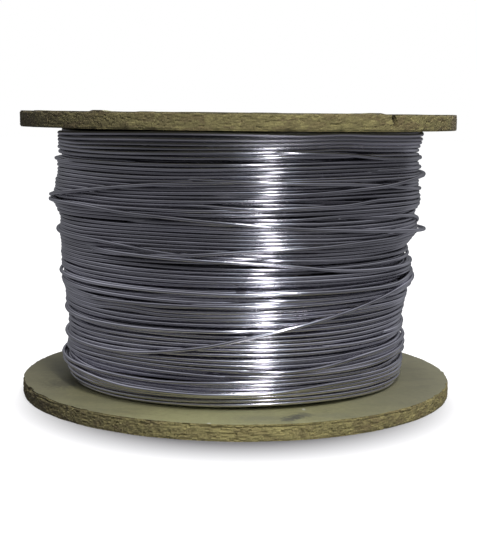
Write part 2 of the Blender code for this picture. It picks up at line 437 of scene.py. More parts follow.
def surface_waves(rng, count, rounds, wave_heights, swing):
    """Makes a function of angle and height: long slanting waves that fade into each other.

    Rounds are the fewest and most waves round the reel, and wave_heights their heights in mm.
    """
    waves = [
        (
            rng.integers(rounds[0], rounds[1] + 1) * rng.choice((-1, 1)),
            math.tau / (rng.uniform(*wave_heights) * MM),
            rng.uniform(0, math.tau),
        )
        for _ in range(count)
    ]

    def height_at(angles, heights):
        """The waves' sum at a place."""
        total = 0
        for turns_round, per_metre, phase in waves:
            total = total + np.sin(turns_round * angles + per_metre * heights + phase)
        return swing * total

    return height_at


def soft_weights(count):
    """Weights that make a smooth average of neighbouring values."""
    weights = np.hanning(count + 2)[1:-1]
    return weights / weights.sum()


def column_angles():
    """Angles of the columns in which the wire is laid, from the back and round."""
    return math.pi + math.tau * np.arange(TURN_STEPS) / TURN_STEPS


class Pile:
    """The wire laid so far: heights and radii of each turn in every column round the reel."""

    def __init__(self, diameter, core):
        self.diameter = diameter
        self.core = core
        self.heights = []
        self.radii = []

    def rest_radii(self, heights, columns):
        """How far out a wire at these heights rests, on the core or on the wire below."""
        angles = column_angles()[columns]
        rest = self.core(angles, heights)
        if self.heights:
            laid_heights = np.array(self.heights)[:, columns]
            laid_radii = np.array(self.radii)[:, columns]
            offset = np.abs(heights[None, :] - laid_heights)
            contact = CONTACT * self.diameter
            lift = np.sqrt(np.clip(contact**2 - offset**2, 0, None))
            touching = np.where(offset < contact, laid_radii + lift, 0)
            rest = np.maximum(rest, touching.max(axis=0))
        return rest

    def bridge(self, rest):
        """Carries a stiff wire over bumps in smooth arcs that stay close to what is below."""
        padded = np.pad(rest, 2 * BRIDGE_REACH, mode="edge")
        window = 2 * BRIDGE_REACH + 1
        raised = np.lib.stride_tricks.sliding_window_view(padded, window).max(axis=-1)
        stiff = np.convolve(raised, soft_weights(window), mode="valid")
        near = padded[BRIDGE_REACH:-BRIDGE_REACH]
        hugging = np.convolve(near, soft_weights(window), mode="valid")
        return np.minimum(stiff, hugging + SLACK * self.diameter)

    def lay_turn(self, heights):
        """Lays one turn on the pile and returns its radii."""
        radii = self.bridge(self.rest_radii(heights, np.arange(TURN_STEPS)))
        self.heights.append(heights)
        self.radii.append(radii)
        return radii


def join_turns(radii):
    """Eases the end of each turn into the start of the next one."""
    share = smooth_step(np.linspace(0, 1, JOIN_STEPS))
    for turn in range(len(radii) - 1):
        end = radii[turn][-JOIN_STEPS:]
        radii[turn][-JOIN_STEPS:] = end * (1 - share) + radii[turn + 1][0] * share
    return radii


def part_rows(angles, heights):
    """Moves the rows above each parting up, away from the row below it."""
    for at_angle, at_height, half_angle, half_height, width in PARTINGS:
        turn = ((np.degrees(angles) - at_angle + 180) % 360 - 180) / half_angle
        rise = (heights / MM - at_height) / half_height
        above = smooth_step(0.5 + rise * half_height)
        fade = np.exp(-(turn**2) - np.clip(rise, 0, None) ** 2)
        heights = heights + width * MM * above * fade
    return heights


def push_apart(heights, least):
    """Moves each turn of a layer off the one before it, so that no two lie in one place."""
    for turn in range(1, len(heights)):
        heights[turn] = np.maximum(heights[turn], heights[turn - 1] + least)
    return heights


def stray_turns(rng, heights, stray, low, high):
    """Lets a few turns of a layer stray over their neighbours for part of their way round."""
    columns = np.arange(TURN_STEPS)
    for turn in rng.choice(np.arange(2, len(heights) - 2), STRAY_COUNT, replace=False):
        middle = rng.uniform(*STRAY_MIDDLES) * TURN_STEPS
        half_width = rng.uniform(*STRAY_HALF_WIDTHS)
        rise = rng.choice((-1, 1)) * rng.uniform(*STRAY_SHARES) * stray
        from_middle = np.abs(columns - middle) / half_width
        heights[turn] += rise * smooth_step(1.6 - from_middle)
    return np.clip(heights, low, high)


def wind_layer(pile, rng, rows, downwards, stray, sway):
    """Winds one layer of touching turns and returns its points' angles, radii and heights."""
    low = WINDING_LOW[2] + pile.diameter / 2
    high = WINDING_HIGH[2] - pile.diameter / 2
    turns = int((high - low) / (pile.diameter * rows)) + 1
    steps = turns * TURN_STEPS
    speed = 1 + UNEVEN_CLIMB * smooth_noise(rng, steps, int(turns * CLIMB_KNOTS))
    travel = np.cumsum(speed) / np.sum(speed)
    heights = low + travel * (high - low)
    angles = np.tile(column_angles(), turns)
    drift = surface_waves(rng, count=7, rounds=(1, 3), wave_heights=(22, 80), swing=sway)
    heights = heights + drift(angles, heights)
    heights = heights + ROW_WANDER * smooth_noise(rng, steps, turns * WANDER_KNOTS)
    heights = part_rows(angles, heights)
    heights = heights.reshape(turns, TURN_STEPS)
    heights = push_apart(heights, LEAST_SPACING * pile.diameter)
    spare = np.clip(heights[-1] - high, 0, None)
    heights = heights - spare * np.linspace(0, 1, turns)[:, None]
    heights = np.clip(heights, low, high)
    heights = stray_turns(rng, heights, stray, low, high)
    if downwards:
        heights = heights[::-1, ::-1]
    kinks = smooth_noise(rng, steps, turns * KINK_KNOTS).reshape(turns, TURN_STEPS)
    radii = [pile.lay_turn(heights[turn]) + KINK * kinks[turn] for turn in range(turns)]
    radii = join_turns(radii)
    pile.radii[-turns:] = radii
    return angles, np.concatenate(radii), heights.ravel()


def wire_mesh(name, angles, radii, heights, diameter):
    """Makes a round wire along a route given by angles, radii and heights."""
    centres = around_axis(angles, radii, heights)
    tangents = np.gradient(centres, axis=0)
    tangents /= np.linalg.norm(tangents, axis=-1, keepdims=True)
    up = np.array((0.0, 0.0, 1.0)) - tangents * tangents[:, 2:3]
    up /= np.linalg.norm(up, axis=-1, keepdims=True)
    out = np.cross(tangents, up)
    round_angles = math.tau * np.arange(WIRE_SIDES) / WIRE_SIDES
    ring = np.cos(round_angles)[None, :, None] * out[:, None, :]
    ring = ring + np.sin(round_angles)[None, :, None] * up[:, None, :]
    points = centres[:, None, :] + ring * diameter / 2
    mesh = make_ring_mesh(name, points, closed=False)
    close_wire_ends(mesh, len(centres))
    mesh.shade_smooth()
    steps = np.linalg.norm(np.diff(centres, axis=0), axis=-1)
    travelled = np.concatenate(((0,), np.cumsum(steps)))
    paint_points(mesh, "along", np.repeat(travelled, WIRE_SIDES))
    return mesh


def close_wire_ends(mesh, rings):
    """Caps both ends of a wire."""
    shape = bmesh.new()
    shape.from_mesh(mesh)
    shape.verts.ensure_lookup_table()
    first = [shape.verts[i] for i in range(WIRE_SIDES)]
    last = [shape.verts[(rings - 1) * WIRE_SIDES + i] for i in range(WIRE_SIDES)]
    shape.faces.new(first)
    shape.faces.new(list(reversed(last)))
    bmesh.ops.recalc_face_normals(shape, faces=shape.faces)
    shape.to_mesh(mesh)
    shape.free()


def place(tree, kind, inputs=None, **options):
    """Adds a node, sets its options, and fills its inputs with values or other nodes' outputs."""
    node = tree.nodes.new(kind)
    for option, value in options.items():
        setattr(node, option, value)
    for name, value in (inputs or {}).items():
        if isinstance(value, bpy.types.NodeSocket):
            tree.links.new(value, node.inputs[name])
        else:
            node.inputs[name].default_value = value
    return node


def calculate(tree, operation, *values):
    """Works out a number from others, for instance their ADD or MAXIMUM."""
    return place(tree, "ShaderNodeMath", dict(enumerate(values)), operation=operation).outputs[0]


def calculate_vector(tree, operation, *values):
    """Works out a vector from others, or a number where the operation gives one."""
    node = place(tree, "ShaderNodeVectorMath", dict(enumerate(values)), operation=operation)
    return node.outputs["Value" if operation in {"DOT_PRODUCT", "LENGTH"} else "Vector"]


def split_axes(tree, vector):
    """Splits a vector into the outputs X, Y and Z."""
    return place(tree, "ShaderNodeSeparateXYZ", {0: vector}).outputs


def painted(tree, name):
    """The number that is stored for each point of the mesh under a name."""
    return place(tree, "ShaderNodeAttribute", attribute_name=name).outputs["Fac"]


def noise(tree, vector, scale, detail):
    """Adds soft noise and returns its outputs."""
    inputs = {"Vector": vector, "Scale": scale, "Detail": detail}
    return place(tree, "ShaderNodeTexNoise", inputs).outputs


def mix_colours(tree, factor, first, second, blend="MIX"):
    """Mixes two colours, each a value or another node's output."""
    inputs = {0: factor, 6: first, 7: second}
    return place(tree, "ShaderNodeMix", inputs, data_type="RGBA", blend_type=blend).outputs[2]


def ramp(tree, value, low, high, to_low=0.0, to_high=1.0):
    """Maps a value from one range to another, and holds it there beyond the range's ends."""
    inputs = {0: value, 1: low, 2: high, 3: to_low, 4: to_high}
    return place(tree, "ShaderNodeMapRange", inputs, clamp=True).outputs[0]


def lay_colours(tree, toned, layers):
    """Lays colours over a first one, each where its mask is strong, and returns the result.

    A layer is a mask, the mask's low and high value, the layer's strength at each, and its colour.
    """
    for mask, low, high, at_low, at_high, colour in layers:
        toned = mix_colours(tree, ramp(tree, mask, low, high, at_low, at_high), toned, colour)
    return toned


def shade(colour, share=1):
    """A setting's colour made lighter or darker, with its alpha."""
    return (*(min(1, channel * share) for channel in colour), 1)


def new_group(name, inputs, outputs):
    """Makes a shader node group from its inputs' defaults and the names of its outputs."""
    group = bpy.data.node_groups.new(name, "ShaderNodeTree")
    for socket, default in inputs.items():
        kind = "NodeSocketFloat" if isinstance(default, float) else "NodeSocketVector"
        group.interface.new_socket(socket, in_out="INPUT", socket_type=kind).default_value = default
    for socket in outputs:
        group.interface.new_socket(socket, in_out="OUTPUT", socket_type="NodeSocketFloat")
    return group, group.nodes.new("NodeGroupInput").outputs


def use_group(tree, name, **inputs):
    """Places a node group in a material and returns its output, or all if it has several."""
    group = bpy.data.node_groups[name]
    outputs = place(tree, "ShaderNodeGroup", inputs, node_tree=group).outputs
    return outputs if len(outputs) > 1 else outputs[0]


def make_drawn_grain():
    """Group: fine streaks along one axis, as on drawn wire, fibres or a sawn edge."""
    group, given = new_group(
        "drawn_grain", {"Vector": (0, 0, 0), "Stretch": (1, 1, 1), "Detail": 4.0}, ("Grain",)
    )
    scaled = calculate_vector(group, "MULTIPLY", given["Vector"], given["Stretch"])
    grain = noise(group, scaled, 1.0, given["Detail"])["Fac"]
    place(group, "NodeGroupOutput", {"Grain": grain})


def make_chip_cells():
    """Group: pressed chips, each with a tone of its own and a dark line round it."""
    group, given = new_group(
        "chip_cells", {"Vector": (0, 0, 0), "Stretch": (1, 1, 1), "Waver": 0.3}, ("Tone", "Seam")
    )
    scaled = calculate_vector(group, "MULTIPLY", given["Vector"], given["Stretch"])
    shift = noise(group, scaled, 1.3, 2.0)["Color"]
    shift = calculate_vector(group, "MULTIPLY", shift, given["Waver"])
    cell_inputs = {"Vector": calculate_vector(group, "ADD", scaled, shift), "Scale": 1.0}
    cells = place(group, "ShaderNodeTexVoronoi", cell_inputs)
    edges = place(group, "ShaderNodeTexVoronoi", cell_inputs, feature="DISTANCE_TO_EDGE")
    tone = place(group, "ShaderNodeSeparateColor", {"Color": cells.outputs["Color"]}).outputs[0]
    seam = ramp(group, edges.outputs["Distance"], 0.0, 0.09, 1.0, 0.0)
    place(group, "NodeGroupOutput", {"Tone": tone, "Seam": seam})


def make_soiling():
    """Group: cloudy patches, for dirt, dull zinc and damp stains."""
    group, given = new_group(
        "soiling", {"Vector": (0, 0, 0), "Scale": 20.0, "Cover": 0.5, "Softness": 0.2}, ("Mask",)
    )
    clouds = noise(group, given["Vector"], given["Scale"], 5.0)["Fac"]
    threshold = calculate(group, "SUBTRACT", 1.0, given["Cover"])
    low = calculate(group, "SUBTRACT", threshold, given["Softness"])
    high = calculate(group, "ADD", threshold, given["Softness"])
    place(group, "NodeGroupOutput", {"Mask": ramp(group, clouds, low, high)})


def make_spot():
    """Group: one soft-edged uneven mark at a place, such as a smudge or a pale speck."""
    group, given = new_group(
        "spot", {"Vector": (0, 0, 0), "Centre": (0, 0, 0), "Size": (0.01, 0.01, 0.01)}, ("Mask",)
    )
    waver = ramp(group, noise(group, given["Vector"], 420.0, 3.0)["Fac"], 0.3, 0.7, -0.4, 0.4)
    offset = calculate_vector(group, "SUBTRACT", given["Vector"], given["Centre"])
    offset = calculate_vector(group, "DIVIDE", offset, given["Size"])
    distance = calculate(group, "ADD", waver, calculate_vector(group, "LENGTH", offset))
    place(group, "NodeGroupOutput", {"Mask": ramp(group, distance, 0.4, 1.0, 1.0, 0.0)})


def new_material(name, **shader_values):
    """Makes a Principled material and returns it, its node tree and the place on the object."""
    material = bpy.data.materials.new(name)
    material.use_nodes = True
    tree = material.node_tree
    for socket, value in shader_values.items():
        tree.nodes["Principled BSDF"].inputs[socket.replace("_", " ")].default_value = value
    return material, tree, place(tree, "ShaderNodeTexCoord").outputs["Object"]


def finish_material(material, colour, relief, strength, depth, roughness=None):
    """Feeds a material's shader with its colour, the bumps of a relief and its roughness."""
    tree = material.node_tree
    shader = tree.nodes["Principled BSDF"]
    bump = {"Height": relief, "Strength": strength, "Distance": depth}
    tree.links.new(colour, shader.inputs["Base Color"])
    tree.links.new(place(tree, "ShaderNodeBump", bump).outputs[0], shader.inputs["Normal"])
    if roughness is not None:
        tree.links.new(roughness, shader.inputs["Roughness"])
    return material


def galvanized_material(settings):
    """Dull hot-dip zinc on drawn wire: streaked along the wire, with cloudy oxide."""
    material, tree, where = new_material("galvanized", Metallic=1.0)
    height = split_axes(tree, where)["Z"]
    on_wire = {"X": painted(tree, "along"), "Z": height}
    on_wire = place(tree, "ShaderNodeCombineXYZ", on_wire).outputs[0]
    streaks = use_group(tree, "drawn_grain", Vector=on_wire, Stretch=(45, 1, 2600), Detail=3.0)
    lengths = use_group(tree, "drawn_grain", Vector=on_wire, Stretch=(9, 1, 220), Detail=2.0)
    bloom = use_group(tree, "soiling", Vector=where, Scale=260.0, Cover=0.5, Softness=0.16)
    dull = use_group(tree, "soiling", Vector=where, Scale=24.0, Cover=0.45, Softness=0.2)
    layers = (
        (lengths, 0.4, 0.62, 0, 1, shade(settings.colour)),
        (dull, 0, 1, 0, 0.3, (0.42, 0.42, 0.42, 1)),
    )
    toned = lay_colours(tree, shade(settings.colour, 0.62), layers)
    # Painted light and shade by height: lowest and top rows painted lighter, middle rows darker
    low_rows = ramp(tree, height, 0.076, 0.092, 1.0, 0.0)
    high_rows = ramp(tree, height, 0.142, 0.152, 0.0, 1.0)
    painted_light_rows = calculate(tree, "MAXIMUM", low_rows, high_rows)
    tint = mix_colours(tree, painted_light_rows, (0.86, 0.86, 0.86, 1), (1.15, 1.15, 1.16, 1))
    toned = mix_colours(tree, 1.0, toned, tint, "MULTIPLY")
    rough = ramp(tree, bloom, 0, 1, 0.12, 0.17)
    rough = calculate(tree, "ADD", rough, ramp(tree, dull, 0, 1, 0.0, 0.04))
    sheltered = ramp(tree, height, 0.1495, 0.152, 0.0, 0.24)
    rough = calculate(tree, "ADD", rough, sheltered)
    return finish_material(material, toned, streaks, 0.25, 0.05 * MM, rough)


def rim_material(settings):
    """The rim of a disc: torn flakes in layers, with painted shade in the gaps between them."""
    material, tree, where = new_material("chipboard_rim", Roughness=0.88)
    depth = painted(tree, "depth")
    split = split_axes(tree, where)
    on_rim = {"X": painted(tree, "arc"), "Z": split["Z"]}
    on_rim = place(tree, "ShaderNodeCombineXYZ", on_rim).outputs[0]
    chips = use_group(tree, "chip_cells", Vector=on_rim, Stretch=(560, 1, 900), Waver=1.2)
    strands = use_group(tree, "chip_cells", Vector=on_rim, Stretch=(150, 1, 330), Waver=1.5)
    fibres = use_group(tree, "drawn_grain", Vector=on_rim, Stretch=(1100, 1, 1300), Detail=6.0)
    stain = use_group(tree, "soiling", Vector=where, Scale=13.0, Cover=0.5, Softness=0.2)
    pale_place = {"Centre": (0, -FLANGE_RADIUS, 4 * MM), "Size": (0.055, 0.05, 0.03)}
    pale = use_group(tree, "spot", Vector=where, **pale_place)
    weathered_place = {"Centre": (0.128, -0.025, 0.1635), "Size": (0.02, 0.034, 0.03)}
    weathered = use_group(tree, "spot", Vector=where, **weathered_place)
    at_top = ramp(tree, split["Z"], REEL_TOP - 1.1 * MM, REEL_TOP - 0.4 * MM)
    skin = ramp(tree, strands["Tone"], 0.1, 0.7, 0.85, 0.3)
    skin = calculate(tree, "MULTIPLY", at_top, skin)
    light = shade(settings.rim_colour, 1.75)
    dark = shade(settings.rim_colour, 0.42)
    umber = (0.15, 0.105, 0.055, 1)
    # Painted light: the lower disc's rim is painted lighter, for light bounced off the floor
    near_floor = ramp(tree, split["Z"], BOARD_THICKNESS, REEL_TOP - BOARD_THICKNESS, 1.0, 0.0)
    plain = shade(settings.rim_colour)
    plain = lay_colours(tree, plain, ((near_floor, 0, 1, 0, 0.34, light),))
    layers = (
        (chips["Tone"], 0.0, 0.45, 0.7, 0, dark),
        (chips["Tone"], 0.68, 1.0, 0, 0.9, light),
        (fibres, 0.36, 0.55, 0.55, 0, dark),
        (near_floor, 0, 1, 0.5, 0, plain),
        (strands["Tone"], 0.5, 1.0, 0, 0.5, umber),
        (strands["Tone"], 0.0, 0.4, 0.4, 0, light),
        (strands["Seam"], 0, 1, 0, 0.3, dark),
        # Painted shade: the deeper a flake lies, the darker it is painted
        (depth, 0.8, 2.4, 0, 0.85, (0.03, 0.024, 0.014, 1)),
        (stain, 0, 1, 0, 0.22, umber),
        (pale, 0, 1, 0, 0.35, light),
        (weathered, 0, 1, 0, 0.6, (0.155, 0.125, 0.095, 1)),
        (skin, 0, 1, 0, 1, (0.05, 0.042, 0.028, 1)),
        # Painted shade: the rim is painted darker towards its left end, away from the lights
        (split["X"], -0.135, 0.0, 0.62, 0.0, (0.045, 0.034, 0.024, 1)),
    )
    return finish_material(material, lay_colours(tree, plain, layers), fibres, 0.6, 0.25 * MM)


def face_material(settings):
    """The smooth face of a disc: fine pressed chips under a film of grey dirt."""
    material, tree, where = new_material("chipboard_face", Specular_IOR_Level=0.25)
    across = split_axes(tree, where)["X"]
    chips = use_group(tree, "chip_cells", Vector=where, Stretch=(420, 260, 300), Waver=0.9)
    long_chips = use_group(tree, "chip_cells", Vector=where, Stretch=(75, 190, 190), Waver=0.8)
    fibres = use_group(tree, "drawn_grain", Vector=where, Stretch=(300, 900, 900), Detail=5.0)
    stain = use_group(tree, "soiling", Vector=where, Scale=17.0, Cover=0.45, Softness=0.2)
    smudges = use_group(tree, "soiling", Vector=where, Scale=34.0, Cover=0.27, Softness=0.05)
    dark = shade(settings.face_colour, 0.68)
    layers = [
        (chips["Tone"], 0, 1, 0, 0.5, shade(settings.face_colour, 1.35)),
        (long_chips["Tone"], 0.6, 1, 0, 0.5, dark),
        (fibres, 0.38, 0.6, 0.35, 0, dark),
        (stain, 0, 1, 0, 0.4, (0.2, 0.2, 0.15, 1)),
        (smudges, 0, 1, 0, 0.3, (0.11, 0.1, 0.08, 1)),
        # Painted shade: both sides of a face are painted darker, the left more, away from the front
        # lights
        (across, -0.135, -0.02, 0.72, 0.0, (0.1, 0.088, 0.06, 1)),
        (across, 0.03, 0.11, 0.0, 0.62, (0.13, 0.12, 0.09, 1)),
    ]
    for centre, size, strength, tone in FACE_MARKS:
        centre, size = (tuple(value * MM for value in values) for values in (centre, size))
        mark = use_group(tree, "spot", Vector=where, Centre=centre, Size=size)
        layers.append((mark, 0, 1, 0, strength, (*tone, 1)))
    toned = lay_colours(tree, shade(settings.face_colour), layers)
    rough = ramp(tree, stain, 0, 1, 0.55, 0.75)
    return finish_material(material, toned, fibres, 0.3, 0.1 * MM, rough)


def cardboard_material():
    """The barrel: brown tube board with the spiral seam of its wound strips."""
    material, tree, where = new_material("tube_board", Roughness=0.9)
    split = split_axes(tree, where)
    turn = calculate(tree, "ARCTAN2", split["Y"], split["X"])
    climb = calculate(tree, "MULTIPLY", split["Z"], math.tau / STRIP_CLIMB)
    wave = calculate(tree, "COSINE", calculate(tree, "ADD", turn, climb))
    fibres = use_group(tree, "drawn_grain", Vector=where, Stretch=(500, 500, 1400), Detail=5.0)
    layers = (
        (fibres, 0.3, 0.7, 0, 1, (0.36, 0.25, 0.15, 1)),
        (wave, 0.985, 1.0, 0, 1, (0.09, 0.06, 0.035, 1)),
    )
    toned = lay_colours(tree, (0.2, 0.13, 0.07, 1), layers)
    return finish_material(material, toned, fibres, 0.4, 0.2 * MM)


def plated_material():
    """Rods, nuts and washers: zinc-plated steel, scratched and a little dull."""
    material, tree, where = new_material("zinc_plating", Metallic=1.0)
    scratches = use_group(tree, "drawn_grain", Vector=where, Stretch=(2400, 160, 700), Detail=4.0)
    dull = use_group(tree, "soiling", Vector=where, Scale=180.0, Cover=0.5, Softness=0.15)
    layers = ((dull, 0, 1, 0, 0.7, (0.36, 0.35, 0.31, 1)),)
    toned = lay_colours(tree, (0.6, 0.61, 0.6, 1), layers)
    rough = ramp(tree, scratches, 0.3, 0.7, 0.55, 0.75)
    return finish_material(material, toned, scratches, 0.2, 0.05 * MM, rough)


def rim_flakes(rng, depth):
    """How deep each point of a rim lies: torn strands in layers of uneven thickness."""
    arc = math.tau * FLANGE_RADIUS / RIM_STEPS
    layers = RIM_ROWS // 2
    strands = np.zeros((layers, RIM_STEPS))
    for layer in range(layers):
        column = 0
        while column < RIM_STEPS:
            length = int(rng.uniform(0.6, 3.2) * MM / arc) + 1
            end = min(column + length, RIM_STEPS)
            set_back = abs(rng.normal(0, 1)) * depth
            tilt = rng.normal(0, 0.3) * depth
            strands[layer, column:end] = set_back + np.linspace(-tilt, tilt, end - column)
            column = end
    waver = ring_noise(rng, RIM_STEPS, 22) * 0.9 + ring_noise(rng, RIM_STEPS, 130) * 0.5
    row = np.arange(RIM_ROWS)[:, None] / 2 + waver[None, :]
    picked = np.clip(np.round(row).astype(int), 0, layers - 1)
    return np.clip(strands[picked, np.arange(RIM_STEPS)[None, :]], 0, DEEPEST_FLAKE)


def crack_depths(angles, heights):
    """Extra depth of the rim in its cracks."""
    depth = np.zeros((len(heights), len(angles)))
    for at_angle, at_height, half_height, half_width, deep in RIM_CRACKS:
        local_height = (REEL_TOP / MM - at_height) * MM
        arc = (angles - math.radians(180 - at_angle) + math.pi) % math.tau - math.pi
        across = np.abs(arc) * FLANGE_RADIUS / (half_width * MM)
        along = np.abs(heights - local_height) / (half_height * MM)
        opening = smooth_step(1.6 - across)[None, :] * smooth_step(3 * (1 - along))[:, None]
        depth = np.maximum(depth, deep * MM * opening)
    return depth


def raised_edge(rng, angles):
    """How far the top edge stands up all round: a slight waver and a few raised flakes."""
    rise = 0.12 * MM * (ring_noise(rng, len(angles), 40) + 1)
    for at_angle, half_width, height in RAISED_FLAKES:
        turn = np.degrees(angles) - (180 - at_angle)
        turn = np.abs((turn + 180) % 360 - 180) / half_width
        rise = np.maximum(rise, height * MM * smooth_step(1.7 - 1.2 * turn))
    return rise


def disc_mesh(name, rng, flake_depth, split_depth, worn_top):
    """Makes a disc whose outer face is at height 0, with a torn rim, bore and barrel groove."""
    angles = math.tau * np.arange(RIM_STEPS) / RIM_STEPS
    rim_heights = np.linspace(0, BOARD_THICKNESS, RIM_ROWS)
    from_edge = np.minimum(rim_heights, BOARD_THICKNESS - rim_heights)
    flakes = rim_flakes(rng, flake_depth)
    arris = ROUND_OFF * (1 - smooth_step(from_edge / ARRIS_WIDTH))
    worn = 1 + 0.7 * ring_noise(rng, RIM_STEPS, 90)
    depth = flakes * smooth_step(0.35 + from_edge / (0.9 * MM))[:, None]
    depth = depth + arris[:, None] * worn[None, :]
    depth += crumbled_edge(rng, rim_heights, split_depth)
    rise = np.zeros(RIM_STEPS)
    if worn_top:
        depth = np.maximum(depth, crack_depths(angles, rim_heights))
        rise = raised_edge(rng, angles)
    fades = smooth_step(1 - rim_heights / RISE_FADES_BY)
    rows = [
        (FLANGE_RADIUS - deep, height - rise * fade)
        for deep, height, fade in zip(depth, rim_heights, fades)
    ]
    level = np.zeros(RIM_STEPS)
    inner_edge = FLANGE_RADIUS - depth[-1] - EDGE_STEP
    outer_edge = FLANGE_RADIUS - depth[0] - EDGE_STEP
    for radius in INNER_FACE_RADII:
        rows.append((np.minimum(inner_edge, radius * MM), level + BOARD_THICKNESS))
    groove_outer = BARREL_RADIUS + SEAT_GAP
    groove_inner = BARREL_RADIUS - BARREL_WALL - SEAT_GAP
    groove_floor = BOARD_THICKNESS - GROOVE_DEPTH
    bore_edge = SPINDLE_BORE_RADIUS + BORE_CHAMFER
    inner_points = (
        (groove_outer, BOARD_THICKNESS), (groove_outer, groove_floor),
        (groove_inner, groove_floor), (groove_inner, BOARD_THICKNESS),
        (OUTER_FACE_RADII[0] * MM, BOARD_THICKNESS), (bore_edge, BOARD_THICKNESS),
        (SPINDLE_BORE_RADIUS, BOARD_THICKNESS - BORE_CHAMFER), (SPINDLE_BORE_RADIUS, BORE_CHAMFER),
        (bore_edge, 0), *((radius * MM, 0) for radius in OUTER_FACE_RADII),
    )
    bore_row = len(rows) + [radius for radius, _ in inner_points].index(SPINDLE_BORE_RADIUS)
    for radius, height in inner_points:
        lift = rise * smooth_step((radius - RISE_STARTS) / RISE_WIDTH) if height == 0 else 0
        rows.append((level + radius, level + height - lift))
    rows.append((np.minimum(outer_edge, OUTER_ROW_RADIUS), -rise))
    radii, heights = np.swapaxes(rows, 0, 1)
    points = around_axis(angles, radii, heights)
    mesh = make_ring_mesh(name, points, closed=True)
    depths = np.zeros(radii.shape)
    depths[:RIM_ROWS] = depth / MM
    paint_points(mesh, "depth", depths)
    paint_points(mesh, "arc", np.tile(angles * FLANGE_RADIUS, (len(rows), 1)))
    mark_torn_faces(mesh, bore_row)
    return mesh


def crumbled_edge(rng, heights, split_depth):
    """Extra depth where the inner arris has crumbled and the face layer has split away."""
    from_front = (np.arange(RIM_STEPS) * 360 / RIM_STEPS + 180) % 360 - 180
    split_heights = SPLIT_HEIGHT + SPLIT_WAVER * ring_noise(rng, RIM_STEPS, 44)
    split = np.exp(-(((heights[:, None] - split_heights[None, :]) / SPLIT_WIDTH) ** 2))
    peeled = np.exp(-((from_front / PEELED_HALF_ANGLE) ** 4))
    open_share = np.clip(0.3 + 0.6 * ring_noise(rng, RIM_STEPS, 26) + 0.8 * peeled, 0, 1)
    depth = split_depth * split * open_share[None, :]
    near_arris = smooth_step(1 - (BOARD_THICKNESS - heights) / CRUMBLED_HEIGHT)
    crumbled = np.exp(-(((from_front - CRUMBLED_ANGLE) / CRUMBLED_HALF_ANGLE) ** 4))
    bites = np.clip(ring_noise(rng, RIM_STEPS, 150) - 0.45 + 0.3 * crumbled, 0, 1)
    return depth + CRUMBLED_DEPTH * near_arris[:, None] * bites[None, :]


def mark_torn_faces(mesh, bore_row):
    """Gives the faces of the rim and the bore the second material."""
    indices = np.zeros(len(mesh.polygons), dtype=np.int32)
    indices[: (RIM_ROWS - 1) * RIM_STEPS] = 1
    indices[bore_row * RIM_STEPS : (bore_row + 1) * RIM_STEPS] = 1
    mesh.polygons.foreach_set("material_index", indices)


def rod_cutter(name, radius, bottom, top):
    """Makes an upright cylinder on each tie rod."""
    shape = bmesh.new()
    for index in range(ROD_COUNT):
        angle = math.tau * index / ROD_COUNT
        centre = Vector((math.cos(angle), math.sin(angle), 0)) * ROD_CIRCLE_RADIUS
        centre.z = (bottom + top) / 2
        bmesh.ops.create_cone(
            shape,
            cap_ends=True,
            segments=48,
            radius1=radius,
            radius2=radius,
            depth=top - bottom,
            matrix=Matrix.Translation(centre),
        )
    mesh = bpy.data.meshes.new(name)
    shape.to_mesh(mesh)
    shape.free()
    return add_object(name, mesh)


def drill_disc(disc):
    """Cuts the rod holes and their recesses and keeps the result as the disc's mesh."""
    overrun = 1 * MM
    cutters = (
        rod_cutter("recess_cutter", RECESS_RADIUS, -overrun, RECESS_DEPTH),
        rod_cutter("hole_cutter", ROD_HOLE_RADIUS, -overrun, BOARD_THICKNESS + overrun),
    )
    for cutter in cutters:
        boolean = disc.modifiers.new(cutter.name, "BOOLEAN")
        boolean.operation = "DIFFERENCE"
        boolean.solver = "EXACT"
        boolean.object = cutter
    depsgraph = bpy.context.evaluated_depsgraph_get()
    drilled = bpy.data.meshes.new_from_object(disc.evaluated_get(depsgraph))
    disc.modifiers.clear()
    disc.data = drilled
    for cutter in cutters:
        bpy.data.objects.remove(cutter, do_unlink=True)


class REEL_OT_wire_layers(Operator):
    """Winds the outer layers of wire and the loose turns that cross them."""

    bl_idname = "reel.wire_layers"
    bl_label = "Wind the Wire"

    def execute(self, context):
        settings = context.scene.reel_wire
        rng = np.random.default_rng(settings.seed)
        diameter = settings.diameter
        dents = surface_waves(
            rng, count=9, rounds=(4, 9), wave_heights=(9, 20), swing=settings.dent
        )

        def core(angles, heights):
            """Radius of the wound wire under the three layers."""
            return wound_radius(angles, heights) - WOUND_DEPTH * diameter + dents(angles, heights)

        pile = Pile(diameter, core)
        material = galvanized_material(settings)
        middle = (settings.rows_inner + settings.rows_outer) / 2
        # Name, spacing of the rows, whether it is wound downwards, and shares of stray and sway
        plan = (
            ("wire_layer_inner", settings.rows_inner, False, 0.3, 0.6),
            ("wire_layer_middle", middle, True, 0.8, 1.0),
            ("wire_layer_outer", settings.rows_outer, False, 1.0, 1.0),
        )
        for name, rows, downwards, stray_share, sway_share in plan:
            route = wind_layer(
                pile, rng, rows, downwards, settings.stray * stray_share, settings.sway * sway_share
            )
            mesh = wire_mesh(name, *route, diameter)
            piece = add_object(name, mesh, material)
            ride_root(piece)
            if name == "wire_layer_outer":
                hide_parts("wire_winding")
        for name, points in (*shallow_turns(rng), *LOOSE_TURNS.items()):
            piece = add_object(name, loose_turn_mesh(name, points, pile), material)
            ride_root(piece)
        return {"FINISHED"}


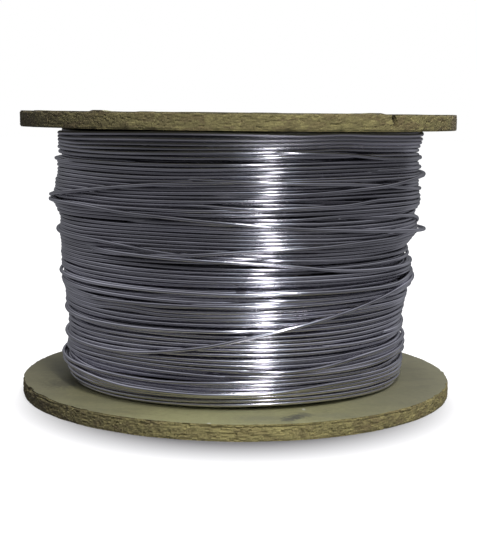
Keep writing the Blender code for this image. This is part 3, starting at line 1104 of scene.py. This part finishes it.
def shallow_turns(rng):
    """Routes of turns that lie in the grooves of the outer rows and slowly cross them."""
    for index in range(SHALLOW_TURN_COUNT):
        start = -180 + 360 * (index + rng.uniform(0, 1)) / SHALLOW_TURN_COUNT
        span = rng.uniform(*SHALLOW_SPANS)
        height = rng.uniform(*SHALLOW_HEIGHTS)
        climb = rng.uniform(-4, 4)
        shares = np.linspace(0, 1, 7)
        heights = height + climb * (shares - 0.5) + rng.uniform(-0.5, 0.5, 7)
        heights = np.clip(heights, 14, 154)
        points = [(start + span * share, at, SHALLOW_SINK) for share, at in zip(shares, heights)]
        if index + 1 not in UNLAID_TURNS:
            yield f"shallow_turn_{index + 1}", points


def loose_turn_mesh(name, points, pile):
    """Lays a loose turn over the rows; both its ends dive under its neighbours."""
    degrees, heights_mm, away_mm = np.array([(*point, 0)[:3] for point in points], dtype=float).T
    step = 360 / TURN_STEPS
    steps = np.arange(math.ceil(degrees[0] / step), math.floor(degrees[-1] / step) + 1)
    at = steps * step
    columns = (steps - TURN_STEPS // 2) % TURN_STEPS
    heights = np.interp(at, degrees, heights_mm) * MM
    away = np.interp(at, degrees, away_mm) * MM
    heights = np.convolve(np.pad(heights, 3, mode="edge"), soft_weights(7), mode="valid")
    radii = pile.bridge(pile.rest_radii(heights, columns) + away)
    dive = (smooth_step(np.linspace(0, 1, DIVE_STEPS)) - 1) * END_DIVE * pile.diameter
    radii[:DIVE_STEPS] += dive
    radii[-DIVE_STEPS:] += dive[::-1]
    laid_heights = np.full(TURN_STEPS, -1.0)
    laid_radii = np.zeros(TURN_STEPS)
    laid_heights[columns] = heights
    laid_radii[columns] = radii
    pile.heights.append(laid_heights)
    pile.radii.append(laid_radii)
    return wire_mesh(name, np.radians(at), radii, heights, pile.diameter)


class REEL_OT_flanges(Operator):
    """Makes the two chipboard discs with their torn rims."""

    bl_idname = "reel.flanges"
    bl_label = "Make the Flanges"

    def execute(self, context):
        settings = context.scene.reel_board
        materials = (face_material(settings), rim_material(settings))
        rng = np.random.default_rng(settings.seed)
        # Name, node, share of the flakes' depth, depth of the split, whether it is the upper disc
        plan = (
            ("lower_disc", "lower_flange", 1.0, 1.3 * MM, False),
            ("upper_disc", "upper_flange", 0.55, 0.3 * MM, True),
        )
        for name, node, flake_share, split_depth, is_upper in plan:
            flake_depth = settings.flake_depth * flake_share
            mesh = disc_mesh(name, rng, flake_depth, split_depth, is_upper)
            disc = add_object(name, mesh, *materials)
            drill_disc(disc)
            if is_upper:
                turn_over = Matrix.Rotation(math.pi, 4, "X")
                lift = Matrix.Translation((0, 0, REEL_TOP))
                disc.data.transform(lift @ turn_over)
            ride_root(disc)
            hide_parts(node)
        return {"FINISHED"}


class REEL_OT_barrel(Operator):
    """Gives the barrel its tube board."""

    bl_idname = "reel.barrel"
    bl_label = "Finish the Barrel"

    def execute(self, context):
        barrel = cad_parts["barrel"]
        barrel.material_slots[0].material = cardboard_material()
        return {"FINISHED"}


class REEL_OT_hardware(Operator):
    """Gives the tie rods, washers and nuts their zinc plating."""

    bl_idname = "reel.hardware"
    bl_label = "Finish the Hardware"

    def execute(self, context):
        material = plated_material()
        for name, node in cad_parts.items():
            if "rod" in name or "washer" in name or "nut" in name:
                node.material_slots[0].material = material
        return {"FINISHED"}


def add_area_light(name, location, size, power, colour, hidden_from=()):
    """Adds a soft rectangular light that faces the reel."""
    data = bpy.data.lights.new(name, "AREA")
    data.shape = "RECTANGLE"
    data.size, data.size_y = size
    data.energy = power
    data.color = colour
    light = add_object(name, data)
    light.location = location
    direction = REEL_MIDDLE - light.location
    light.rotation_euler = direction.to_track_quat("-Z", "Y").to_euler()
    for rays in hidden_from:
        setattr(light, f"visible_{rays}", False)


class REEL_OT_stage(Operator):
    """Makes the pale floor, the soft lights, the white surround and the camera."""

    bl_idname = "reel.stage"
    bl_label = "Set the Stage"

    def execute(self, context):
        settings = context.scene.reel_stage
        context.scene.view_settings.view_transform = "Standard"
        self.add_floor(context)
        self.add_surround(context)
        warm = (1, 0.99, 0.98)
        # Name, place, width and height, power, colour, and the rays that it is hidden from
        lights = (
            ("key_light", (0.368, -1.053, 1.08), (0.165, 2.0), settings.key_power, warm),
            ("fill_light", (0.4, -1.1, 1.3), (0.4, 0.3), settings.fill_power, warm, ("glossy",)),
            ("glow_light", (0.362, -1.1, 1.12), (0.95, 2.0), settings.glow_power, (0.74, 0.87, 1)),
            (
                "top_light", (0, 0.06, 1.6), (0.6, 0.6), settings.top_power, (0.98, 0.99, 1),
                ("camera", "glossy"),
            ),
        )
        for light in lights:
            add_area_light(*light)
        self.add_camera(context, settings)
        return {"FINISHED"}

    def add_floor(self, context):
        """A pale floor painted white by glow, fading to painted shadow under and round the reel."""
        bpy.ops.mesh.primitive_plane_add(size=FLOOR_SIZE, location=(0, 0, -FLOOR_GAP))
        floor = context.active_object
        floor.name = "floor"
        material, tree, where = new_material(
            "pale_floor",
            Base_Color=(0.22, 0.215, 0.22, 1),
            Roughness=1.0,
            Specular_IOR_Level=0.0,
            Emission_Color=(1, 1, 1, 1),
        )
        # Painted light and shadow: the floor glows white away from the reel, fading out near it
        from_reel = calculate_vector(tree, "ADD", where, (0, 0.03, 0))
        from_reel = calculate_vector(tree, "MULTIPLY", from_reel, (1.08, 1, 1))
        distance = calculate_vector(tree, "LENGTH", from_reel)
        glow = ramp(tree, distance, 0.103, 0.152, 0.0, 1.0)
        tree.links.new(glow, tree.nodes["Principled BSDF"].inputs["Emission Strength"])
        floor.data.materials.append(material)
        floor.visible_glossy = False
        floor.visible_diffuse = False

    def add_surround(self, context):
        """White behind the reel, and dim for what the wire reflects."""
        world = bpy.data.worlds.new("surround")
        world.use_nodes = True
        context.scene.world = world
        tree = world.node_tree
        tree.nodes.clear()
        path = place(tree, "ShaderNodeLightPath")
        direction = place(tree, "ShaderNodeTexCoord").outputs["Generated"]
        split = split_axes(tree, direction)
        above = ramp(tree, split["Z"], 0.15, 0.55, 0.11, 0.46)
        below = ramp(tree, split["Z"], 0.0, -0.9, 0.11, 0.23)
        towards_curtain = calculate_vector(tree, "DOT_PRODUCT", direction, (-0.56, -0.82, 0.1))
        curtain = ramp(tree, towards_curtain, 0.76, 0.98, 1.0, 0.49)
        sides = ramp(tree, split["Y"], -0.1, 0.8, 1.0, 1.45)
        strength = calculate(tree, "MAXIMUM", above, below)
        for share in (curtain, sides):
            strength = calculate(tree, "MULTIPLY", strength, share)
        aside = calculate_vector(tree, "DOT_PRODUCT", direction, (0.944, 0.33, 0))
        bounce = ramp(tree, calculate(tree, "ABSOLUTE", aside), 0.03, 0.14, 1.0, 0.0)
        in_front = ramp(tree, split["Y"], -0.6, -0.2, 1.8, 0.0)
        low_down = ramp(tree, split["Z"], -0.12, 0.05, 1.0, 0.0)
        for share in (in_front, low_down):
            bounce = calculate(tree, "MULTIPLY", bounce, share)
        towards_back = calculate_vector(tree, "DOT_PRODUCT", direction, (0.62, 0.785, 0))
        glimmer = ramp(tree, towards_back, 0.95, 0.995, 0.0, 0.12)
        for share in (bounce, glimmer):
            strength = calculate(tree, "ADD", strength, share)
        dim_light = {"Color": (0.85, 0.87, 0.95, 1), "Strength": strength}
        dim = place(tree, "ShaderNodeBackground", dim_light).outputs[0]
        white = place(tree, "ShaderNodeBackground", {"Color": (1, 1, 1, 1)}).outputs[0]
        seen = {0: path.outputs["Is Camera Ray"], 1: dim, 2: white}
        mixed = place(tree, "ShaderNodeMixShader", seen).outputs[0]
        place(tree, "ShaderNodeOutputWorld", {"Surface": mixed})

    def add_camera(self, context, settings):
        """Looks a little down on the reel from the front, as the photograph does."""
        data = bpy.data.cameras.new("camera")
        data.lens = settings.focal_length
        data.sensor_width = 36
        data.clip_start = 0.01
        camera = add_object("camera", data)
        pitch = Matrix.Rotation(math.pi / 2 - LOOKS_DOWN, 4, "X")
        roll = Matrix.Rotation(LEANS_OVER, 4, "Z")
        camera.matrix_world = Matrix.Translation(CAMERA_PLACE) @ pitch @ roll
        context.scene.camera = camera


class REEL_PT_sidebar(Panel):
    """Lists the reel's operators and settings."""

    bl_idname = "REEL_PT_sidebar"
    bl_label = "Wire Reel"
    bl_space_type = "VIEW_3D"
    bl_region_type = "UI"
    bl_category = "Wire Reel"

    def draw(self, context):
        layout = self.layout
        groups = (
            (context.scene.reel_wire, ("reel.wire_layers",)),
            (context.scene.reel_board, ("reel.flanges", "reel.barrel", "reel.hardware")),
            (context.scene.reel_stage, ("reel.stage",)),
        )
        for settings, operators in groups:
            box = layout.box()
            for name in settings.bl_rna.properties.keys():
                if name not in {"rna_type", "name"}:
                    box.prop(settings, name)
            for operator in operators:
                box.operator(operator)


CLASSES = (
    ReelWireSettings,
    ReelBoardSettings,
    ReelStageSettings,
    REEL_OT_wire_layers,
    REEL_OT_flanges,
    REEL_OT_barrel,
    REEL_OT_hardware,
    REEL_OT_stage,
    REEL_PT_sidebar,
)


def register():
    """Registers the classes and their settings."""
    for one_class in CLASSES:
        bpy.utils.register_class(one_class)
    bpy.types.Scene.reel_wire = PointerProperty(type=ReelWireSettings)
    bpy.types.Scene.reel_board = PointerProperty(type=ReelBoardSettings)
    bpy.types.Scene.reel_stage = PointerProperty(type=ReelStageSettings)


def unregister():
    """Takes the classes and their settings away again."""
    del bpy.types.Scene.reel_stage
    del bpy.types.Scene.reel_board
    del bpy.types.Scene.reel_wire
    for one_class in reversed(CLASSES):
        bpy.utils.unregister_class(one_class)


def main():
    """Makes the whole reel and its stage."""
    register()
    make_drawn_grain()
    make_chip_cells()
    make_soiling()
    make_spot()
    bpy.ops.reel.wire_layers()
    bpy.ops.reel.flanges()
    bpy.ops.reel.barrel()
    bpy.ops.reel.hardware()
    bpy.ops.reel.stage()


if __name__ == "__main__":
    main()
